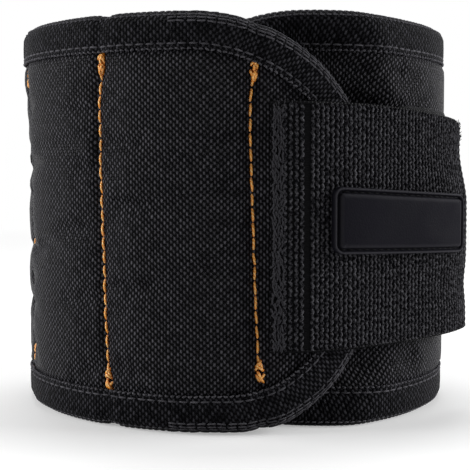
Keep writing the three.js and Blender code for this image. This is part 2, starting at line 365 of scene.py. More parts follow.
for panel, first, last in zip(PANELS, PANEL_ENDS, PANEL_ENDS[1:]):
    along = np.linspace(0, 1, 25)[:, None]
    azimuth = first + (last - first) * (0.02 + 0.96 * along)
    across = np.linspace(-1, 1, 29)[None, :]
    height = MID_HEIGHT + across * half_height(azimuth, FOAM_INSET)
    azimuth = azimuth + 0 * height
    full = (1 - (2 * np.abs(along - 0.5)) ** 6) * (1 - across**10)
    radius = band_radius(azimuth, height)
    top = polar(radius - FOAM_DEPTHS[0] - FOAM_SQUEEZE * (1 - full), azimuth, height)
    base = polar(radius - FOAM_DEPTHS[1], azimuth, height)
    pad = closed_sheet(f"pad_{panel}", top, base, cloth_uv(azimuth, height), pad_foam)
    if panel.startswith("cell"):
        cut_pockets(pad, (first + last) / 2)
    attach(pad, panel)
    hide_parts(f"foam_{panel}")

# Magnets: ten nickel-plated discs lying loose in the foam's pockets, two to a cell.
# Their plating is bright and a little dulled in places.


def object_place(tree):
    return placed(tree, "ShaderNodeTexCoord", {})["Object"]


magnet_nickel, tree, shader = finish("magnet nickel", 0.25, 0.5)
shader["Metallic"].default_value = 1.0
dulling = cloudy(tree, object_place(tree), 400.0, 4.0)
feed(tree, shader["Base Color"], blended(tree, dulling, (0.48, 0.47, 0.45, 1), (0.62, 0.62, 0.61, 1)))
feed(tree, shader["Roughness"], ramp(tree, dulling, 0.3, 0.7, 0.2, 0.38))
for cell in PANELS[1:6]:
    for row in ("upper", "lower"):
        disc = bpy.data.objects[f"magnet_{cell}_{row}"]
        disc.data.materials.clear()
        disc.data.materials.append(magnet_nickel)

# Shell: heavy ballistic nylon in a basket weave, one strip over the foam, quilted to the lining.
# The foam swells it up over each cell, and the stitching draws it into a groove and puckers it.
# Its cloth is simulated at ten times its size, held along the stitching and under the binding.
SHELL_THICKNESS = 1.0
CROWN_LIMITS = (-0.3, 1.3)
GROOVE_DEPTH = 0.7
PUCKER = 0.3
SEAM_LINES = FOLD_AZIMUTHS[:6]
SEAM_ENDS = [(10.9, 78.0), (7.9, 79.9), (9.0, 79.0), (9.0, 79.0), (9.0, 79.0), (9.0, 79.0)]
SEAM_SHIFTS = [0.6, -1.2, 5.0, 0.0, 0.0, 0.0]
DRIFT_LEVELS = [0, 8, 16, 30, 43, 62, 70, 77, 88]
SEAM_DRIFT = [2.2, 2.1, 1.2, 0.4, -0.07, -0.8, -0.75, 0.35, 0.8]
SHELL_TURNS = np.linspace(FLAP_TIP, TAIL_TIP, 231)
SHELL_LEVELS = np.linspace(7, 81, 41)
CLOTH_SCALE = 10
CLOTH_FRAMES = 18
BINDING_HOLD = 7.6
SEAM_HOLD = 0.9


def seam_azimuth(seam, height):
    return SEAM_LINES[seam] + SEAM_SHIFTS[seam] + np.interp(height, DRIFT_LEVELS, SEAM_DRIFT)


def from_seam(seam, azimuth, height):
    return np.radians(azimuth - seam_azimuth(seam, height)) * BAND_RADIUS


def swollen_cloth():
    azimuth, height = np.meshgrid(SHELL_TURNS, SHELL_LEVELS, indexing="ij")
    radius = band_radius(azimuth, height)
    flat = polar(radius, azimuth, height).reshape(-1, 3) * CLOTH_SCALE
    number = np.arange(len(flat)).reshape(azimuth.shape)
    mesh = bpy.data.meshes.new("shell_cloth")
    mesh.from_pydata([tuple(p) for p in flat], [], grid_quads(number).tolist())
    cloth = put("shell_cloth", mesh)
    held = np.abs(height - MID_HEIGHT) > half_height(azimuth, BINDING_HOLD)
    for seam in range(len(SEAM_LINES)):
        held = held | (np.abs(from_seam(seam, azimuth, height)) < SEAM_HOLD)
    stitched = cloth.vertex_groups.new(name="stitched down")
    stitched.add(np.flatnonzero(held).tolist(), 1.0, "REPLACE")
    fabric = cloth.modifiers.new("cloth", "CLOTH").settings
    fabric.vertex_group_mass = "stitched down"
    fabric.quality = 5
    fabric.tension_stiffness = 12
    fabric.compression_stiffness = 12
    fabric.bending_stiffness = 0.3
    fabric.shrink_min = -0.03
    fabric.use_pressure = True
    fabric.uniform_pressure_force = 4.0
    fabric.effector_weights.gravity = 0
    for step in range(1, CLOTH_FRAMES + 1):
        bpy.context.scene.frame_set(step)
    shaped = cloth.evaluated_get(bpy.context.evaluated_depsgraph_get())
    points = np.empty(len(flat) * 3)
    shaped.data.vertices.foreach_get("co", points)
    points = points.reshape(*azimuth.shape, 3) * 1000 / CLOTH_SCALE
    bpy.context.scene.frame_set(1)
    bpy.data.objects.remove(cloth)
    return np.clip(np.hypot(points[..., 0], points[..., 1]) - radius, *CROWN_LIMITS)


shell_swell = swollen_cloth()


def swell_at(azimuth, height):
    column = (azimuth - SHELL_TURNS[0]) / (SHELL_TURNS[1] - SHELL_TURNS[0])
    row = (height - SHELL_LEVELS[0]) / (SHELL_LEVELS[1] - SHELL_LEVELS[0])
    column = np.clip(column, 0, len(SHELL_TURNS) - 1.001)
    row = np.clip(row, 0, len(SHELL_LEVELS) - 1.001)
    left, below = np.floor(column).astype(int), np.floor(row).astype(int)
    s, t = column - left, row - below
    low = shell_swell[left, below] * (1 - s) + shell_swell[left + 1, below] * s
    high = shell_swell[left, below + 1] * (1 - s) + shell_swell[left + 1, below + 1] * s
    return low * (1 - t) + high * t


def uneven(azimuth, height, scale, shift):
    spots = polar(BAND_RADIUS, azimuth, height).reshape(-1, 3) * 1000 / scale
    spots = spots + np.array([shift, 0, np.pi * shift])
    values = [noise.noise(Vector(spot)) for spot in spots]
    return np.array(values).reshape(np.shape(azimuth))


def quilting(azimuth, height):
    off_middle = np.abs(height - MID_HEIGHT)
    rise = swell_at(azimuth, height)
    ripple = uneven(azimuth, height, 4.2, 7.0)
    for seam in range(len(SEAM_LINES)):
        away = from_seam(seam, azimuth, height)
        rise = rise - GROOVE_DEPTH * hump(away, 0, 1.3) * (1 - smoothstep(off_middle, 34, 40))
        rise = rise + PUCKER * ripple * hump(away, 0, 6)
    return rise - PUCKER * hump(off_middle, 36.5, 1.6)


def joined(tree, **parts):
    return placed(tree, "ShaderNodeCombineXYZ", parts)["Vector"]


def rounded(tree, distance, half_width):
    share = maths(tree, "POWER", maths(tree, "DIVIDE", distance, half_width), 2.0)
    return maths(tree, "SQRT", maths(tree, "MAXIMUM", maths(tree, "SUBTRACT", 1.0, share), 0.0))


# Staggered floats: beads of yarn standing upright in offset columns, with the cross yarn between their ends.
floats, floats_in, floats_out = shader_group(
    "Staggered floats", {"Column": 0.7, "Length": 1.0, "Wander": 0.3}, ["Height", "Yarn shade"]
)
u, v = split(floats, floats_in["Place"])
drift = ramp(floats, cloudy(floats, floats_in["Place"], 0.45, 2.0), 0, 1, -1.0, 1.0)
drift = maths(floats, "MULTIPLY", drift, floats_in["Wander"])
column = maths(floats, "DIVIDE", maths(floats, "ADD", u, drift), floats_in["Column"])
number = maths(floats, "FLOOR", column)
row = maths(floats, "DIVIDE", maths(floats, "ADD", v, drift), floats_in["Length"])
row = maths(floats, "ADD", row, maths(floats, "MULTIPLY", number, 0.5))
across, along = from_middle(floats, column), from_middle(floats, row)
bead = maths(floats, "MULTIPLY", rounded(floats, across, 0.5), rounded(floats, along, 0.42))
under = rounded(floats, maths(floats, "SUBTRACT", 0.5, along), 0.2)
under = maths(floats, "MULTIPLY", under, 0.22)
floats.links.new(maths(floats, "MAXIMUM", bead, under), floats_out["Height"])
yarn_number = joined(floats, X=number, Y=maths(floats, "FLOOR", row))
shade = placed(floats, "ShaderNodeTexWhiteNoise", {"Vector": yarn_number}, noise_dimensions="2D")["Value"]
floats.links.new(shade, floats_out["Yarn shade"])


def woven(name, specular, length, dark, light, crest_power, roughness, depth, lint_scale, lint_grey):
    material, tree, shader = finish(name, roughness[0], specular)
    yarns = place_group(tree, floats, Place=cloth_place(tree), Column=0.68, Length=length, Wander=0.22)
    dust = place_group(tree, lint, Place=cloth_place(tree), Patch_scale=lint_scale)
    yarn = blended(tree, yarns["Yarn shade"], dark, light)
    # Painted highlight and shade: only the crests of the yarns get the yarn colour, and the hollows between
    # them are painted near black.
    crest = maths(tree, "POWER", yarns["Height"], crest_power)
    bare = blended(tree, crest, (0.0006, 0.0006, 0.0009, 1), yarn)
    fluffy = maths(tree, "MULTIPLY", dust["Fluff"], 0.05)
    feed(tree, shader["Base Color"], blended(tree, fluffy, bare, lint_grey))
    feed(tree, shader["Roughness"], ramp(tree, yarns["Yarn shade"], 0, 1, *roughness))
    feed(tree, shader["Normal"], relief(tree, yarns["Height"], depth))
    return material


shell_nylon = woven(
    "shell nylon", specular=0.03, length=1.3, dark=(0.036, 0.035, 0.041, 1), light=(0.115, 0.112, 0.127, 1),
    crest_power=3.0, roughness=(0.34, 0.5), depth=0.0007, lint_scale=0.05, lint_grey=(0.09, 0.09, 0.095, 1),
)

for span in range(8):
    azimuth, height = span_grid(span, LAYER_INSET, 61)
    radius = band_radius(azimuth, height) + quilting(azimuth, height)
    outer = polar(radius, azimuth, height)
    inner = polar(radius - SHELL_THICKNESS, azimuth, height)
    shell = closed_sheet(f"shell_strip_{span + 1}", outer, inner, cloth_uv(azimuth, height), shell_nylon)
    bend_with_fold(shell)
    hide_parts(*[f"shell_{panel}" for panel in panels_of(span)])

# Quilting thread: thick orange polyester in a plain lockstitch, six lines across the band, each tacked
# down with a few stitches on top of each other at both ends. It lies sunk in the shell's grooves.
# Here and in later sections a stitch is given by its pitch, length and thickness.
QUILT_STITCH = (2.95, 2.8, 0.62)
TACK_STITCH = (2.0, 1.75, 0.66)
TACK_LENGTH = 4.4
TACK_KNOTS = (1.1, 3.5)
TACK_LAYERS = [(-0.3, -0.4, 0.3), (0.2, 0.42, 0.3), (0.45, -0.1, 0.5), (-0.4, 0.15, 0.55)]


def growing_tree(name, inputs):
    """An empty tree of growing nodes, with the identifiers of its inputs and the inputs themselves."""
    tree = bpy.data.node_groups.new(name, "GeometryNodeTree")
    sockets = {}
    for label, kind in inputs.items():
        socket = tree.interface.new_socket(label, in_out="INPUT", socket_type=f"NodeSocket{kind}")
        sockets[label] = socket.identifier
    tree.interface.new_socket("Grown", in_out="OUTPUT", socket_type="NodeSocketGeometry")
    return tree, sockets, tree.nodes.new("NodeGroupInput").outputs


def dotted(tree, edges, pitch):
    line = placed(tree, "GeometryNodeMeshToCurve", {"Mesh": edges})["Curve"]
    return placed(tree, "GeometryNodeCurveToPoints", {"Curve": line, "Length": pitch}, mode="LENGTH")


def tube(tree, curve, width, corners):
    circle = {"Resolution": corners, "Radius": maths(tree, "MULTIPLY", width, 0.5)}
    ring = placed(tree, "GeometryNodeCurvePrimitiveCircle", circle)["Curve"]
    inputs = {"Curve": curve, "Profile Curve": ring, "Fill Caps": True}
    return placed(tree, "GeometryNodeCurveToMesh", inputs)["Mesh"]


def place(tree):
    return placed(tree, "GeometryNodeInputPosition", {})["Position"]


def vectors(tree, operation, *values):
    return placed(tree, "ShaderNodeVectorMath", dict(enumerate(values)), operation=operation)


def turned_to(tree, inputs, **axes):
    return placed(tree, "FunctionNodeAlignRotationToVector", inputs, **axes)["Rotation"]


def sown(tree, points, shape, rotation):
    inputs = {"Points": points, "Instance": shape, "Rotation": rotation}
    return placed(tree, "GeometryNodeInstanceOnPoints", inputs)["Instances"]


def chance(tree, least, most, seed):
    inputs = {0: least, 1: most, "Seed": seed}
    return placed(tree, "FunctionNodeRandomValue", inputs, data_type="FLOAT_VECTOR")[0]


def solid(tree, instances):
    return placed(tree, "GeometryNodeRealizeInstances", {"Geometry": instances})["Geometry"]


def softened(tree, shape):
    return placed(tree, "GeometryNodeSetShadeSmooth", {"Geometry": shape})["Geometry"]


def dyed(tree, shape, material):
    """Ends a growing tree."""
    done = placed(tree, "GeometryNodeSetMaterial", {"Geometry": shape, "Material": material})["Geometry"]
    tree.links.new(done, tree.nodes.new("NodeGroupOutput").inputs[0])


stitching, stitch_sockets, stitch = growing_tree(
    "Stitches along a seam",
    {
        "Seam": "Geometry", "Pitch": "Float", "Length": "Float", "Thickness": "Float", "Lean": "Vector",
        "Stray": "Vector", "Thread": "Material",
    },
)
spots = dotted(stitching, stitch["Seam"], stitch["Pitch"])
bends = {"Resolution": 6}
for label, depth, share in (("Start", -0.7, -0.5), ("Middle", 0.95, 0.0), ("End", -0.7, 0.5)):
    depth = maths(stitching, "MULTIPLY", stitch["Thickness"], depth)
    bends[label] = joined(stitching, X=depth, Z=maths(stitching, "MULTIPLY", stitch["Length"], share))
arch = placed(stitching, "GeometryNodeCurveQuadraticBezier", bends)["Curve"]
thread = tube(stitching, arch, stitch["Thickness"], 7)
outward = vectors(stitching, "MULTIPLY", place(stitching), (1, 1, 0))["Vector"]
along = turned_to(stitching, {"Vector": spots["Tangent"]}, axis="Z")
proud = turned_to(stitching, {"Rotation": along, "Vector": outward}, axis="X", pivot_axis="Z")
stitches = sown(stitching, spots["Points"], thread, proud)
least = vectors(stitching, "SUBTRACT", stitch["Lean"], stitch["Stray"])["Vector"]
most = vectors(stitching, "ADD", stitch["Lean"], stitch["Stray"])["Vector"]
leant = {"Instances": stitches, "Rotation": chance(stitching, least, most, 4)}
stitches = placed(stitching, "GeometryNodeRotateInstances", leant)["Instances"]
stitches = softened(stitching, solid(stitching, stitches))
# Crest: how far each point of a stitch faces outward, kept for the orange thread's painted highlight and
# shade.
normal = placed(stitching, "GeometryNodeInputNormal", {})["Normal"]
facing_out = vectors(stitching, "NORMALIZE", outward)["Vector"]
crest = vectors(stitching, "DOT_PRODUCT", normal, facing_out)["Value"]
marked = placed(
    stitching, "GeometryNodeStoreNamedAttribute", {"Geometry": stitches, "Name": "crest", "Value": crest},
    data_type="FLOAT", domain="POINT",
)
dyed(stitching, marked["Geometry"], stitch["Thread"])


def grown(name, chains, tree, sockets, sizes, **others):
    """Runs a growing tree on chains of points, with its sizes in millimetres."""
    edges = []
    offset = 0
    for chain in chains:
        edges += [(offset + k, offset + k + 1) for k in range(len(chain) - 1)]
        offset += len(chain)
    mesh = bpy.data.meshes.new(name)
    mesh.from_pydata([tuple(p) for p in np.concatenate(chains)], edges, [])
    piece = put(name, mesh)
    grow = piece.modifiers.new("grow", "NODES")
    grow.node_group = tree
    for label, size in sizes.items():
        grow[sockets[label]] = size / 1000
    for label, value in others.items():
        grow[sockets[label]] = value
    settle(piece)
    bpy.data.meshes.remove(mesh)
    return piece


def sew(name, chains, thread, stitch, lean=0.0, stray=(0.05, 0.05, 0.0)):
    sizes = dict(zip(("Pitch", "Length", "Thickness"), stitch))
    lean = (lean, 0.0, 0.0)
    return grown(name, chains, stitching, stitch_sockets, sizes, Lean=lean, Stray=stray, Thread=thread)


orange_thread, tree, shader = finish("orange thread", 0.34, 0.5)
spot = object_place(tree)
wave = {"Vector": spot, "Scale": 700.0, "Distortion": 1.5}
twist = placed(tree, "ShaderNodeTexWave", wave, bands_direction="DIAGONAL")["Fac"]
dye = blended(tree, cloudy(tree, spot, 260.0, 3.0), (1.0, 0.46, 0.06, 1), (1.0, 0.78, 0.36, 1))
# Painted shade: the grooves of the twist are painted a darker orange.
turned = blended(tree, twist, (0.95, 0.33, 0.015, 1), dye)
# Painted highlight and shade: the outward-facing middle of each stitch gets the light dye and its sides are
# painted dark brown, read from the crest attribute.
crest = placed(tree, "ShaderNodeAttribute", {}, attribute_name="crest")["Fac"]
painted_light = ramp(tree, crest, 0.35, 0.9, 0.0, 1.0)
feed(tree, shader["Base Color"], blended(tree, painted_light, (0.6, 0.16, 0.004, 1), turned))
feed(tree, shader["Normal"], relief(tree, twist, 0.00006))


def seam_chain(seam, heights, aside=0.0, proud=0.1):
    height = np.asarray(heights, float)
    azimuth = seam_azimuth(seam, height) + np.degrees(aside / BAND_RADIUS)
    return polar(band_radius(azimuth, height) + quilting(azimuth, height) + proud, azimuth, height)


for span, (low, high) in enumerate(SEAM_ENDS):
    line = seam_chain(span, np.linspace(low + TACK_LENGTH, high - TACK_LENGTH, 60))
    stray = (0.09, 0.03, 0.0)
    thread = sew(f"quilting_line_{span + 1}", [line], orange_thread, QUILT_STITCH, lean=0.03, stray=stray)
    tacks = []
    for end, way in ((low, 1), (high, -1)):
        for knot in TACK_KNOTS:
            for reach, aside, proud in TACK_LAYERS:
                middle = end + way * (knot + reach)
                tacks.append(seam_chain(span, [middle, middle + 0.4], aside, proud))
    tack = sew(f"bar_tacks_{span + 1}", tacks, orange_thread, TACK_STITCH, stray=(0.9, 0.25, 0.0))
    for piece in (thread, tack):
        bend_with_fold(piece)

# Edge binding: a black twill tape folded over both edges of the stacked layers and round both rounded ends.
# It is sewn through all of them with one line of black thread close to the tape's own edge.
# Thicker yarns stand up along its fold, and its woven edge has small loops.
BAND_THICKNESS = 5.54
TAPE_BULGE = 1.1
NOTCH_DEPTH = 0.45
ROW_STITCH = (2.3, 2.1, 0.45)
FLOATS_STITCH = (1.4, 0.95, 0.36)
FLAP_FLOATS_STITCH = (2.1, 1.95, 0.36)
PICOT_STITCH = (1.25, 0.75, 0.45)
PICOT_CORNER, ROW_CORNER, EDGE_CORNER = 2, 4, 14
FLOATS_CORNERS = (10, 12, 13)
FLAP_FLOATS_CORNERS = (8, 9, 10, 12)


def binding_section():
    outer_leg = [(8.0, -0.28), (8.1, -0.62), (7.95, -0.92), (7.4, -1.06), (6.9, -0.86), (6.3, -1.08)]
    outer_leg += [(5.2, -TAPE_BULGE), (4.2, -TAPE_BULGE)]
    middle = BAND_THICKNESS / 2
    turn = [math.radians(a) for a in np.linspace(-78, 78, 13)]
    top = [(3.4 - 3.4 * math.cos(a) ** 0.75, middle + (middle + TAPE_BULGE) * math.sin(a)) for a in turn]
    inner_leg = [(inset, BAND_THICKNESS - depth) for inset, depth in reversed(outer_leg)]
    inside = [(7.0, 5.84), (1.7, 5.8), (0.95, 4.2), (0.95, 1.3), (1.7, -0.26), (7.0, -0.3)]
    return np.array(outer_leg + top + inner_leg + inside)


def edge_azimuths(span):
    fold = FOLD_AZIMUTHS[span]
    first, last = SPAN_ENDS[span], SPAN_ENDS[span + 1]
    steps = np.linspace(first, last, int(abs(first - last) / 1.1) + 1)
    fine = fold + np.linspace(-3, 3, 13)
    return np.sort(np.concatenate([steps[np.abs(steps - fold) > 3.3], fine]))[::-1]


def binding_stations(span):
    """Lists of stations. A station gives the azimuth and height of a point at any inset from the edge."""

    def straight(azimuth, side):
        return lambda inset: (azimuth + 0 * inset, MID_HEIGHT + side * (MID_HEIGHT - inset))

    def round_end(angle, centre, direction, radius):
        turn = math.radians(angle)

        def station(inset):
            reach = MID_HEIGHT - inset
            azimuth = centre + direction * np.degrees(reach * math.cos(turn) / radius)
            return azimuth, MID_HEIGHT + reach * math.sin(turn)

        return station

    if span == 0:
        run = np.linspace(SPAN_ENDS[1], FLAP_ROUNDING, 5)[:-1]
        end = (FLAP_ROUNDING, 1, BAND_RADIUS)
    elif span == 7:
        run = np.linspace(SPAN_ENDS[7], TAIL_ROUNDING, 27)[:-1]
        end = (TAIL_ROUNDING, -1, TAIL_RADIUS)
    else:
        return [[straight(a, side) for a in edge_azimuths(span)] for side in (1, -1)]
    arc = [round_end(a, *end) for a in np.linspace(90, -90, 121)]
    return [[straight(a, 1) for a in run] + arc + [straight(a, -1) for a in run[::-1]]]


def binding_points(station, section):
    inset, depth = section[:, 0], section[:, 1]
    azimuth, height = fuller(*station(inset))
    pinch = sum(hump(from_seam(seam, azimuth, height), 0, 1.8) for seam in range(len(SEAM_LINES)))
    height = height - np.sign(height - MID_HEIGHT) * NOTCH_DEPTH * pinch * np.exp(-inset / 3)
    outside = depth < BAND_THICKNESS / 2
    radius = band_radius(azimuth, height) - depth - NOTCH_DEPTH * pinch * outside
    slack = np.where(outside & (depth < -0.5), 0.12, 0) * uneven(azimuth, height, 9, 5.0)
    return polar(radius + slack, azimuth, height)


def ring_quads(number):
    return grid_quads(np.column_stack([number, number[:, 0]]))


def swept_loop(name, rings, runs, section_run, material):
    steps, corners = rings.shape[:2]
    number = np.arange(steps * corners).reshape(steps, corners)
    quads = ring_quads(number)
    faces = quads.tolist() + [number[0, ::-1].tolist(), number[-1].tolist()]
    points = rings.reshape(-1, 3)
    uv = np.stack(np.broadcast_arrays(runs[:, None], section_run[None, :]), -1).reshape(-1, 2)
    piece = plain_mesh(name, points, faces, uv, material)
    if inside_out(points, quads):
        piece.data.flip_normals()
    sharpen(piece, 60)
    return piece


def run_along(points):
    return np.concatenate([[0], np.linalg.norm(np.diff(points, axis=0), axis=1).cumsum()])


binding_tape = woven(
    "binding tape", specular=0.02, length=1.4, dark=(0.007, 0.0068, 0.0088, 1),
    light=(0.057, 0.056, 0.065, 1), crest_power=2.0, roughness=(0.42, 0.6), depth=0.00065,
    lint_scale=0.08, lint_grey=(0.08, 0.08, 0.085, 1),
)

black_thread, tree, shader = finish("black thread", 0.5, 0.03)
spot = object_place(tree)
faded = cloudy(tree, spot, 300.0, 3.0)
feed(tree, shader["Base Color"], blended(tree, faded, (0.007, 0.007, 0.0088, 1), (0.15, 0.146, 0.162, 1)))
feed(tree, shader["Normal"], relief(tree, cloudy(tree, spot, 2400.0, 2.0), 0.0001))

section = binding_section()
section_run = run_along(section)
for span in range(8):
    on_flap = span == 0
    row, folded, edging = [], [], []
    for side, stations in enumerate(binding_stations(span)):
        rings = np.array([binding_points(station, section) for station in stations])
        runs = run_along(rings[:, EDGE_CORNER]) * 1000 + SPAN_ENDS[span] * 3
        label = ("top", "bottom")[side] if span not in (0, 7) else "end"
        tape = swept_loop(f"binding_{label}_{span + 1}", rings, runs, section_run, binding_tape)
        bend_with_fold(tape)
        if on_flap:
            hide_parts("binding_flap", "binding_top_cell_1", "binding_bottom_cell_1")
        elif span == 7:
            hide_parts("binding_tail_end")
        else:
            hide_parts(f"binding_{label}_{PANELS[span + 1]}")
        row.append(rings[:, ROW_CORNER])
        folded += [rings[:, k] for k in (FLAP_FLOATS_CORNERS if on_flap else FLOATS_CORNERS)]
        edging.append(rings[:, PICOT_CORNER])
    for label, chains, stitch, stray in (
        ("stitches", row, ROW_STITCH, (0.06, 0.03, 0.0)),
        ("floats", folded, FLAP_FLOATS_STITCH if on_flap else FLOATS_STITCH, (0.1, 0.1, 0.0)),
        ("selvedge", edging, PICOT_STITCH, (0.4, 0.1, 0.0)),
    ):
        piece = sew(f"binding_{label}_{span + 1}", chains, black_thread, stitch, stray=stray)
        bend_with_fold(piece)

# Loop tape: the soft half of the fastener, a napped tape sewn flat on the outside of the tail.
# Its pile of fine loops stands up unevenly, and a line of black thread runs round its edge.
LOOP_WIDTH = 50.0
LOOP_ENDS = (-222.0, -312.0)
LOOP_BASE = 0.12
PILE_HEIGHT = 1.25
LOOP_ROW_INSET = 2.6
LOOP_STITCH = (2.6, 2.2, 0.45)


def loop_seat(azimuth, height):
    return band_radius(azimuth, height) + np.minimum(quilting(azimuth, height), 0.3)


def loop_height(azimuth, height):
    edge = np.minimum(np.abs(azimuth - LOOP_ENDS[0]), np.abs(azimuth - LOOP_ENDS[1])) * 0.85
    edge = np.minimum(edge, LOOP_WIDTH / 2 - np.abs(height - MID_HEIGHT))
    swell = 0.55 + 0.45 * smoothstep(edge, 0, 1.6)
    sunk = 0.35 * hump(edge, LOOP_ROW_INSET, 0.8)
    return LOOP_BASE + PILE_HEIGHT * (swell - sunk) + 0.16 * uneven(azimuth, height, 1.7, 11.0)


loop_tape, tree, shader = finish("loop tape", 0.9, 0.12, 0.1)
spot = cloth_place(tree)
curls = placed(tree, "ShaderNodeTexVoronoi", {"Vector": spot, "Scale": 1.6}, feature="SMOOTH_F1")["Distance"]
tangle = cloudy(tree, spot, 3.2, 6.0)
dust = place_group(tree, lint, Place=spot, Patch_scale=0.1)
pile = maths(tree, "ADD", maths(tree, "MULTIPLY", curls, 0.6), tangle)
raised = ramp(tree, tangle, 0.35, 0.65, 0.0, 1.0)
napped = blended(tree, raised, (0.003, 0.003, 0.004, 1), (0.032, 0.032, 0.036, 1))
fluffy = maths(tree, "MULTIPLY", dust["Fluff"], 0.3)
feed(tree, shader["Base Color"], blended(tree, fluffy, napped, (0.12, 0.12, 0.12, 1)))
feed(tree, shader["Normal"], relief(tree, pile, 0.0012))

along = np.linspace(*LOOP_ENDS, 91)[:, None]
upward = MID_HEIGHT + np.linspace(-LOOP_WIDTH / 2, LOOP_WIDTH / 2, 51)[None, :]
azimuth, height = along + 0 * upward, upward + 0 * along
radius = loop_seat(azimuth, height)
napped_face = polar(radius + loop_height(azimuth, height), azimuth, height)
sewn_face = polar(radius + LOOP_BASE, azimuth, height)
loop = closed_sheet("loop_tape", napped_face, sewn_face, cloth_uv(azimuth, height), loop_tape)
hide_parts("loop_tape_rear", "loop_tape_front")
across = LOOP_WIDTH / 2 - LOOP_ROW_INSET
row_az = np.linspace(LOOP_ENDS[0] - 3, LOOP_ENDS[1] + 3, 80)
row_z = np.linspace(-across, across, 50) + MID_HEIGHT
row_turn = np.concatenate([row_az, np.full(50, row_az[-1]), row_az[::-1], np.full(50, row_az[0])])
row_level = np.concatenate([np.full(80, row_z[0]), row_z, np.full(80, row_z[-1]), row_z[::-1]])
row_radius = loop_seat(row_turn, row_level) + loop_height(row_turn, row_level) + 0.3
row_line = polar(row_radius, row_turn, row_level)
loop_row = sew("loop_tape_stitches", [row_line], black_thread, LOOP_STITCH)
for piece in (loop, loop_row):
    bend_with_fold(piece)

# Strap: two-inch ribbed polyester webbing, its hemmed end sewn flat on the flap. From there it springs
# away over the tail to a heat-cut free end, which narrows, waves a little and has a frayed upper corner.
STRAP_THICKNESS = 1.6
STRAP_START, STRAP_HINGE, STRAP_END = 9.0, 19.0, 71.0
STRAP_LOW, STRAP_HIGH = 17.3, 69.3
STRAP_SPRING = 7.1
SPRING_AZIMUTHS = (34, 84)
STRAP_BEND = (14.0, 22.0)
STRAP_BEND_RADIUS = 50.0
STRAP_CORE = 0.62
RIB_SIZES = {
    "Pitch": 1.1, "Low": STRAP_LOW + 0.5, "High": STRAP_HIGH - 0.5, "Wave": 1.35, "Sway": 0.2, "Width": 0.66,
}
RIB_LEVEL = 53.0
RIB_PROUD = 1.13
SELVEDGE_STITCH = (0.85, 1.15, 0.65)
HEM_STITCH = (3.0, 1.3, 0.38)
HEM_COLUMNS = (0.5, 1.0, 1.5, 2.0, 2.5)
FRAY_STITCH = (2.0, 1.5, 0.13)


def strap_face(azimuth):
    on_flap = 0.3 + 1.1 * smoothstep(azimuth, STRAP_START, STRAP_HINGE)
    return BAND_RADIUS + on_flap + (STRAP_SPRING - on_flap) * smoothstep(azimuth, *SPRING_AZIMUTHS)


strap_turn = np.linspace(STRAP_START, STRAP_END, 400)
strap_run = run_along(polar(strap_face(strap_turn) + STRAP_THICKNESS, strap_turn, 0.0) * 1000)
STRAP_LENGTH = float(strap_run[-1])


def strap_point(run, height, proud):
    azimuth = np.interp(run, strap_run, strap_turn)
    slope = np.gradient(strap_face(strap_turn), np.radians(strap_turn))
    lean = np.degrees(np.arctan(np.interp(run, strap_run, slope) / (BAND_RADIUS + 3)))
    wave = 1.1 - 1.8 * smoothstep(height, 47, 60) - 0.45 * hump(height, 29, 4)
    base = polar(strap_face(azimuth) + wave * smoothstep(run, 28, STRAP_LENGTH), azimuth, height)
    return base + polar(proud, azimuth - lean, 0 * height)


def corner_cut(run, radius):
    to_end = np.clip(STRAP_LENGTH - run, 0, radius)
    return radius - np.sqrt(radius**2 - (radius - to_end) ** 2)


def narrowing(run, power):
    return np.clip((run - 12) / (STRAP_LENGTH - 12), 0, 1) ** power


def strap_top(run):
    return STRAP_HIGH - 3.0 * narrowing(run, 1.7) - corner_cut(run, 3.4)


def strap_bottom(run):
    return STRAP_LOW + 1.1 * narrowing(run, 1.5) + corner_cut(run, 0.6)


def webbing(name, dark, light):
    material, tree, shader = finish(name, 0.4, 0.06)
    spot = cloth_place(tree)
    fibres = maths(tree, "SINE", maths(tree, "MULTIPLY", split(tree, spot)[1], 2 * math.pi / 0.34))
    dust = place_group(tree, lint, Place=spot, Patch_scale=0.07)
    # Random lighter blotches: partly wear, partly painted glints on the ribs.
    wear_and_highlight = ramp(tree, cloudy(tree, spot, 1.3, 4.0), 0.42, 0.7, 0.0, 1.0)
    fluffy = maths(tree, "MULTIPLY", dust["Fluff"], 0.1)
    bare = blended(tree, wear_and_highlight, dark, light)
    feed(tree, shader["Base Color"], blended(tree, fluffy, bare, (0.10, 0.10, 0.105, 1)))
    feed(tree, shader["Roughness"], ramp(tree, dust["Rubbed"], 0.3, 0.7, 0.35, 0.5))
    feed(tree, shader["Normal"], relief(tree, fibres, 0.00008))
    return material


# The ground between the ribs is a far darker copy of the webbing: painted shade between the ribs. The
# selvedge cords and the patch's channel stitches are drawn in it too.
shaded_strap_ground = webbing("shaded strap ground", (0.001, 0.001, 0.0015, 1), (0.003, 0.0029, 0.004, 1))
strap_webbing = webbing("strap webbing", (0.0048, 0.0046, 0.0066, 1), (0.132, 0.13, 0.144, 1))

run = np.linspace(0, STRAP_LENGTH, 90)[:, None]
near_edge = np.array([0, 0.006, 0.015, 0.03])
rise = np.concatenate([near_edge, np.linspace(0.06, 0.94, 24), [0.97, 0.985, 0.994, 1]])[None, :]
height = strap_bottom(run) + (strap_top(run) - strap_bottom(run)) * rise
run = run + 0 * height
edge = np.minimum(height - strap_bottom(run), strap_top(run) - height)
edge = np.minimum(edge, np.minimum(run, STRAP_LENGTH - run))
roundness = np.sqrt(1 - (1 - np.clip(edge / 0.55, 0, 1)) ** 2)
top_face = strap_point(run, height, STRAP_CORE + 0.5 * roundness)
low_face = strap_point(run, height, STRAP_CORE - 0.6 * roundness)
strap = closed_sheet("strap_webbing_base", top_face, low_face, np.stack([run, height], -1), shaded_strap_ground)

